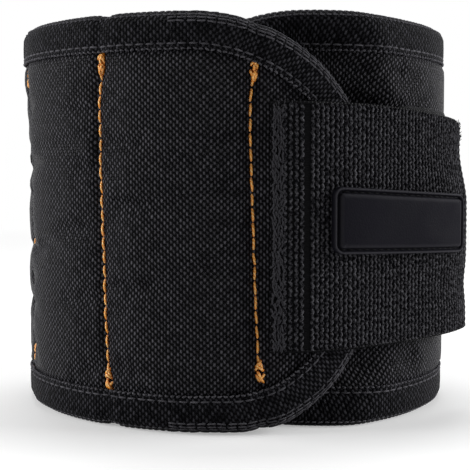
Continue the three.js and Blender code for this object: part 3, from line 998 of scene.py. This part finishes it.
ribbing, rib_sockets, rib = growing_tree(
    "Ribs across webbing",
    {"Path": "Geometry", **{label: "Float" for label in RIB_SIZES}, "Cloth": "Material"},
)
spots = dotted(ribbing, rib["Path"], rib["Pitch"])
ends = {"Start": joined(ribbing, Z=rib["Low"]), "End": joined(ribbing, Z=rib["High"])}
yarn = placed(ribbing, "GeometryNodeCurvePrimitiveLine", ends)["Curve"]
yarn = placed(ribbing, "GeometryNodeResampleCurve", {"Curve": yarn, "Count": 226})["Curve"]
level = placed(ribbing, "ShaderNodeSeparateXYZ", {0: place(ribbing)})["Z"]
turns = maths(ribbing, "MULTIPLY", maths(ribbing, "DIVIDE", level, rib["Wave"]), 2 * math.pi)
sway = joined(ribbing, X=maths(ribbing, "MULTIPLY", maths(ribbing, "SINE", turns), rib["Sway"]))
wavy = placed(ribbing, "GeometryNodeSetPosition", {"Geometry": yarn, "Offset": sway})["Geometry"]
facing = turned_to(ribbing, {"Vector": spots["Tangent"]}, axis="X", pivot_axis="Z")
laid = sown(ribbing, spots["Points"], tube(ribbing, wavy, rib["Width"], 6), facing)
jostle = chance(ribbing, (-0.00004, -0.00003, -0.00025), (0.00004, 0.00003, 0.00025), 9)
jostled = {"Instances": laid, "Translation": jostle}
laid = placed(ribbing, "GeometryNodeTranslateInstances", jostled)["Instances"]
dyed(ribbing, softened(ribbing, solid(ribbing, laid)), rib["Cloth"])

rib_paths = []
for first, last in ((3.0, 6.6), (8.7, STRAP_LENGTH - 0.5)):
    path_run = np.linspace(first, last, 200)
    rib_paths.append(strap_point(path_run, 0 * path_run + RIB_LEVEL, RIB_PROUD) * [1, 1, 0])
ribs = grown("strap_ribs", rib_paths, ribbing, rib_sockets, RIB_SIZES, Cloth=strap_webbing)


def map_strap(piece):
    """Lays the strap's own map on a grown piece, and keeps its ribs inside the cut outline."""
    mesh = piece.data
    points = np.empty(len(mesh.vertices) * 3)
    mesh.vertices.foreach_get("co", points)
    points = points.reshape(-1, 3) * 1000
    azimuth = np.degrees(np.arctan2(points[:, 0], -points[:, 1]))
    run = np.interp(azimuth, strap_turn, strap_run)
    wave = strap_point(run, points[:, 2], 0 * run) - strap_point(run, 0 * run + RIB_LEVEL, 0 * run)
    points[:, :2] += wave[:, :2] * 1000
    points[:, 2] = np.clip(points[:, 2], strap_bottom(run) + 0.35, strap_top(run) - 0.35)
    mesh.vertices.foreach_set("co", (points / 1000).ravel())
    lay_map(mesh, np.stack([run, points[:, 2]], -1))
    mesh.update()


map_strap(ribs)

edge_run = np.linspace(0.6, STRAP_LENGTH - 0.6, 160)
edges = [
    strap_point(edge_run, strap_top(edge_run) - 0.35, 0.95),
    strap_point(edge_run, strap_bottom(edge_run) + 0.35, 0.95),
    strap_point(0 * edge_run + STRAP_LENGTH - 0.3, np.linspace(21, 62.5, 160), 0.9),
]
selvedge = sew("strap_selvedge", edges, shaded_strap_ground, SELVEDGE_STITCH, lean=0.25, stray=(0.12, 0.05, 0.0))

hem = []
for column in HEM_COLUMNS:
    for number in range(56):
        spot = Vector((number * 1.9, column * 5.3, 2.7))
        aside = column + 0.5 * noise.noise(spot)
        level = STRAP_LOW + 0.8 + number * 0.9 + 0.6 * noise.noise(spot * 1.6)
        ends = np.array([aside, aside + 0.3 * noise.noise(spot * 2.3)]), np.array([level, level + 0.4])
        hem.append(strap_point(*ends, np.array([1.35, 1.45])))
hem_stitches = sew("strap_hem_stitches", hem, strap_webbing, HEM_STITCH, stray=(0.5, 0.3, 0.2))

loose = []
for number in range(44):
    spot = Vector((number * 3.7, 1.3, 0.4))
    reach = abs(noise.noise(spot)) * 5
    if number < 30:
        run = STRAP_LENGTH - 0.4 - 0.6 * reach * (number % 2)
        level = strap_top(run) - (0.2 if number % 2 else 0.1 + 9 * abs(noise.noise(spot * 1.7)))
    else:
        run, level = 1.0 + 1.6 * reach, STRAP_HIGH - 0.3 - 2 * abs(noise.noise(spot * 2.1))
    turn = 2.4 * noise.noise(spot * 2.9)
    ends = np.array([run, run + 0.3 * math.sin(turn)]), np.array([level, level + 0.3 * math.cos(turn)])
    loose.append(strap_point(*ends, np.array([1.3, 1.45])))
fray = sew("strap_loose_fibres", loose, strap_webbing, FRAY_STITCH, stray=(0.5, 0.5, 0.2))

start, end = polar(STRAP_BEND_RADIUS, np.array(STRAP_BEND), MID_HEIGHT)
for piece in (selvedge, hem_stitches, fray, strap, ribs):
    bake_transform(piece)
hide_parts("strap_sewn_end", "strap_webbing")

# Hook tape: the stiff half of the fastener, a woven nylon tape with rows of small moulded hooks.
# It is sewn to the strap's inner face near the free end and faces the loop tape.
HOOK_LOW, HOOK_HIGH = 20.4, 66.4
HOOK_SEAT = -0.05
HOOK_BACK = 0.5
HOOK_SIZES = {"Length": 0.8, "Thickness": 0.3}
HOOK_STEP, HOOK_ROW = 1.5, 1.6
HOOK_ENDS = (float(np.interp(44.2, strap_turn, strap_run)), STRAP_LENGTH - 1.6)

hook_tape, tree, shader = finish("hook tape", 0.45, 0.3)
yarns = place_group(tree, floats, Place=cloth_place(tree), Column=0.5, Length=0.9, Wander=0.1)
# Painted shade: the hollows between the yarns are painted darker.
backing = blended(tree, yarns["Height"], (0.003, 0.003, 0.004, 1), (0.014, 0.014, 0.016, 1))
feed(tree, shader["Base Color"], backing)
feed(tree, shader["Normal"], relief(tree, yarns["Height"], 0.0002))

run = np.linspace(*HOOK_ENDS, 24)[:, None]
height = np.linspace(HOOK_LOW, HOOK_HIGH, 40)[None, :]
run, height = run + 0 * height, height + 0 * run
hook_outer = strap_point(run, height, HOOK_SEAT + 0 * run)
hook_inner = strap_point(run, height, HOOK_SEAT - HOOK_BACK + 0 * run)
hook = closed_sheet("hook_tape", hook_outer, hook_inner, np.stack([run, height], -1), hook_tape)

hooking, hook_sockets, barb = growing_tree(
    "Hooks on a tape", {"Roots": "Geometry", "Length": "Float", "Thickness": "Float", "Nylon": "Material"}
)
roots = placed(hooking, "GeometryNodeMeshToPoints", {"Mesh": barb["Roots"]})["Points"]
half, third, wide = (maths(hooking, "MULTIPLY", barb["Thickness"], share) for share in (0.5, 0.3, 0.75))
taper = {"Vertices": 5, "Radius Bottom": half, "Radius Top": third, "Depth": barb["Length"]}
stem = placed(hooking, "GeometryNodeMeshCone", taper)["Mesh"]
head = placed(hooking, "GeometryNodeMeshUVSphere", {"Segments": 5, "Rings": 4, "Radius": wide})["Mesh"]
tip = joined(hooking, X=half, Z=barb["Length"])
head = placed(hooking, "GeometryNodeTransform", {"Geometry": head, "Translation": tip})["Geometry"]
whole = hooking.nodes.new("GeometryNodeJoinGeometry")
for part in (stem, head):
    hooking.links.new(part, whole.inputs["Geometry"])
inward = vectors(hooking, "MULTIPLY", place(hooking), (-1, -1, 0))["Vector"]
facing = turned_to(hooking, {"Vector": inward}, axis="Z")
planted = sown(hooking, roots, whole.outputs["Geometry"], facing)
dyed(hooking, solid(hooking, planted), barb["Nylon"])

root_run, root_height = np.meshgrid(
    np.arange(HOOK_ENDS[0] + 1.2, HOOK_ENDS[1] - 1.0, HOOK_STEP),
    np.arange(HOOK_LOW + 1.2, HOOK_HIGH - 1.0, HOOK_ROW),
)
root_run = root_run + HOOK_STEP / 2 * (np.arange(len(root_run)) % 2)[:, None]
root_points = strap_point(root_run.ravel(), root_height.ravel(), HOOK_SEAT - HOOK_BACK + 0 * root_run.ravel())
hooks = grown("hook_rows", root_points[:, None], hooking, hook_sockets, HOOK_SIZES, Nylon=hook_tape)
for piece in (hook, hooks):
    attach(piece, "strap")
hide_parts("hook_tape")

# Rubber patch: a moulded soft plate with a raised rim, a sunk sewing channel and a bare cushioned face.
# It lies on the strap's ribs and is sewn down through the channel with black thread.
PATCH_LOW, PATCH_HIGH = 37.1, 51.2
PATCH_TAPER = 0.07
PATCH_TILT = 1.2
PATCH_CORNER = 2.1
PATCH_ENDS = tuple(float(np.interp(a, strap_turn, strap_run)) for a in (23.2, 65.0))
PATCH_SEAT = 1.4
PATCH_PROFILE = [
    (0.1, 0.0), (0.0, 0.3), (0.0, 1.3), (0.1, 1.6), (0.3, 1.72), (0.5, 1.66), (0.64, 1.4), (0.72, 1.05),
    (0.85, 0.9), (1.12, 0.9), (1.24, 1.0), (1.34, 1.4), (1.52, 1.7), (1.85, 1.84), (2.3, 1.88),
]
# Profile levels on the rim's crests and the face's edge, painted paler: a painted highlight on the rim.
RIM_HIGHLIGHT_STEPS = ((4, 0.4), (5, 1.0), (6, 0.4), (12, 0.2), (13, 0.6), (14, 0.3))
CHANNEL_INSET, CHANNEL_FLOOR = 0.98, 0.9
CHANNEL_STITCH = (2.0, 1.7, 0.3)
LONG_STEPS, SHORT_STEPS, TURN_STEPS = 60, 12, 7
END_STEPS = SHORT_STEPS + 2 * TURN_STEPS
TOP_FIRST, TOP_LAST = LONG_STEPS + END_STEPS, 2 * LONG_STEPS + END_STEPS - 1


def patch_loop(inset, proud):
    left, right = PATCH_ENDS[0] + inset, PATCH_ENDS[1] - inset
    low, high = PATCH_LOW + inset, PATCH_HIGH - inset
    corner = max(PATCH_CORNER - inset, 0.12)
    turn = np.radians(np.linspace(0, 90, TURN_STEPS))
    along = np.linspace(left + corner, right - corner, LONG_STEPS)
    upward = np.linspace(low + corner, high - corner, SHORT_STEPS + 2)[1:-1]
    ahead, aside = corner * np.sin(turn), corner * np.cos(turn)
    sides = [
        (along, np.full(LONG_STEPS, low)),
        (right - corner + ahead, low + corner - aside),
        (np.full(SHORT_STEPS, right), upward),
        (right - corner + aside, high - corner + ahead),
        (along[::-1], np.full(LONG_STEPS, high)),
        (left + corner - ahead, high - corner + aside),
        (np.full(SHORT_STEPS, left), upward[::-1]),
        (left + corner - aside, low + corner - ahead),
    ]
    run, height = (np.concatenate(part) for part in zip(*sides))
    share = (run - PATCH_ENDS[0]) / (PATCH_ENDS[1] - PATCH_ENDS[0])
    height = height - PATCH_TAPER * (height - PATCH_LOW) * share + PATCH_TILT * (0.5 - share)
    return run, height, PATCH_SEAT + proud + 0 * run


loops = [patch_loop(*step) for step in [(2.3, 0.0), *PATCH_PROFILE]]
steps, corners = len(loops), len(loops[0][0])
faces = ring_quads(np.arange(steps * corners).reshape(steps, corners)).tolist()
places = [np.stack(loop, -1) for loop in loops]
made = steps * corners
bottom, top = np.arange(LONG_STEPS), np.arange(TOP_LAST, TOP_FIRST - 1, -1)
right_end, left_end = range(LONG_STEPS - 1, TOP_FIRST + 1), [*range(TOP_LAST, corners), 0]
for level, way in ((0, -1), (steps - 1, 1)):
    lower, upper = places[level][bottom], places[level][top]
    share = np.linspace(0, 1, END_STEPS + 2)[1:-1, None, None]
    places.append((lower + (upper - lower) * share).reshape(-1, 3))
    inner = made + np.arange(END_STEPS * LONG_STEPS).reshape(END_STEPS, LONG_STEPS)
    made += inner.size
    rim = level * corners
    field = np.concatenate([[rim + bottom], inner, [rim + top]])
    faces += grid_quads(field)[:, ::way].tolist()
    for edge, round_end in ((field[:, -1], right_end), (field[::-1, 0], left_end)):
        beyond = [rim + k for k in round_end]
        for k in range(END_STEPS + 1):
            strip = [edge[k], beyond[k], beyond[k + 1], edge[k + 1]]
            faces.append([int(i) for i in dict.fromkeys(strip)][::way])
patch_points = np.concatenate([strap_point(*spots.T) for spots in places])
patch_uv = np.concatenate([spots[:, :2] for spots in places])

patch_rubber, tree, shader = finish("patch rubber", 0.6, 0.02)
spot = object_place(tree)
smears = cloudy(tree, spot, 160.0, 4.0)
bare = blended(tree, smears, (0.0066, 0.0064, 0.0092, 1), (0.0097, 0.0092, 0.013, 1))
# Painted highlight: the rim's crests are painted paler than the rest of the rubber.
painted_light = placed(tree, "ShaderNodeAttribute", {}, attribute_name="painted_light")["Fac"]
feed(tree, shader["Base Color"], blended(tree, painted_light, bare, (0.04, 0.039, 0.045, 1)))
feed(tree, shader["Roughness"], ramp(tree, smears, 0.3, 0.7, 0.5, 0.7))
feed(tree, shader["Normal"], relief(tree, cloudy(tree, spot, 2600.0, 3.0), 0.00008))

patch = plain_mesh("rubber_patch_plate", patch_points, faces, patch_uv, patch_rubber)
wear_and_highlight = np.zeros(len(patch_points), np.float32)
for level, share in RIM_HIGHLIGHT_STEPS:
    wear_and_highlight[level * corners : (level + 1) * corners] = share
patch.data.attributes.new("painted_light", "FLOAT", "POINT").data.foreach_set("value", wear_and_highlight)
channel = patch_loop(CHANNEL_INSET, CHANNEL_FLOOR)
channel_line = strap_point(*(np.append(part, part[0]) for part in channel))
patch_row = sew("rubber_patch_stitches", [channel_line], shaded_strap_ground, CHANNEL_STITCH)
for piece in (patch, patch_row):
    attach(piece, "strap")
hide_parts("rubber_patch")

# Studio: a plain pale floor, soft light from both sides and above, and the camera straight in front,
# a little higher than the middle of the band and close to it. Far off, the floor fades into the backdrop.
FLOOR_HALF = 6
FLOOR_FADE = (0.2, 0.75)
FLOOR_GREY = (0.7, 0.7, 0.7, 1)
FLOOR_GLOW = 0.34
WORLD_LIGHT = 0.15
LAMP_TARGET = Vector((0, 0, 0.04))
CAMERA_PLACE = (0.0, -0.2875, 0.0564)
CAMERA_LENS = 88.8
CAMERA_TILT, CAMERA_YAW = 3.504, -0.094

floor_mesh = bpy.data.meshes.new("studio_floor")
floor_corners = [(FLOOR_HALF * x, FLOOR_HALF * y, 0) for x, y in ((-1, -1), (1, -1), (1, 1), (-1, 1))]
floor_mesh.from_pydata(floor_corners, [], [(0, 1, 2, 3)])
floor = put("studio_floor", floor_mesh)


def seen_directly(tree):
    path = tree.nodes.new("ShaderNodeLightPath").outputs
    mirrored = maths(tree, "MAXIMUM", path["Is Glossy Ray"], path["Is Transmission Ray"])
    return maths(tree, "MAXIMUM", path["Is Camera Ray"], mirrored)


floor_paint, tree, shader = finish("studio floor", 0.9, 0.0)
away = vectors(tree, "LENGTH", object_place(tree))["Value"]
far = ramp(tree, away, *FLOOR_FADE, 0.0, 1.0)
feed(tree, shader["Base Color"], blended(tree, far, FLOOR_GREY, (0, 0, 0, 1)))
shader["Emission Color"].default_value = (1, 1, 1, 1)
glow = ramp(tree, far, 0.0, 1.0, FLOOR_GLOW, 1.0)
feed(tree, shader["Emission Strength"], maths(tree, "MULTIPLY", seen_directly(tree), glow))
floor_mesh.materials.append(floor_paint)

world = bpy.data.worlds.new("studio")
bpy.context.scene.world = world
world.use_nodes = True
tree = world.node_tree
sky = tree.nodes["Background"].inputs
feed(tree, sky["Strength"], maths(tree, "MAXIMUM", WORLD_LIGHT, seen_directly(tree)))
sky["Color"].default_value = (1, 1, 1, 1)


def softbox(name, place, size, power):
    lamp = bpy.data.lights.new(name, "AREA")
    lamp.shape = "RECTANGLE"
    lamp.size, lamp.size_y = size
    lamp.energy = power
    holder = put(name, lamp)
    holder.location = place
    holder.rotation_euler = (LAMP_TARGET - Vector(place)).to_track_quat("-Z", "Y").to_euler()


softbox("left_softbox", (-0.77, -0.02, 0.28), (0.5, 0.5), 6.2)
softbox("right_softbox", (0.77, 0.0, 0.28), (0.5, 0.5), 6.6)
softbox("upper_softbox", (0.0, 0.25, 0.9), (0.4, 0.3), 4.5)

camera = bpy.data.cameras.new("camera")
camera.lens = CAMERA_LENS
camera.sensor_width = 36.0
holder = put("camera", camera)
holder.location = CAMERA_PLACE
holder.rotation_euler = (math.radians(90 - CAMERA_TILT), 0, math.radians(CAMERA_YAW))
bpy.context.scene.camera = holder
bpy.context.scene.view_settings.view_transform = "Standard"
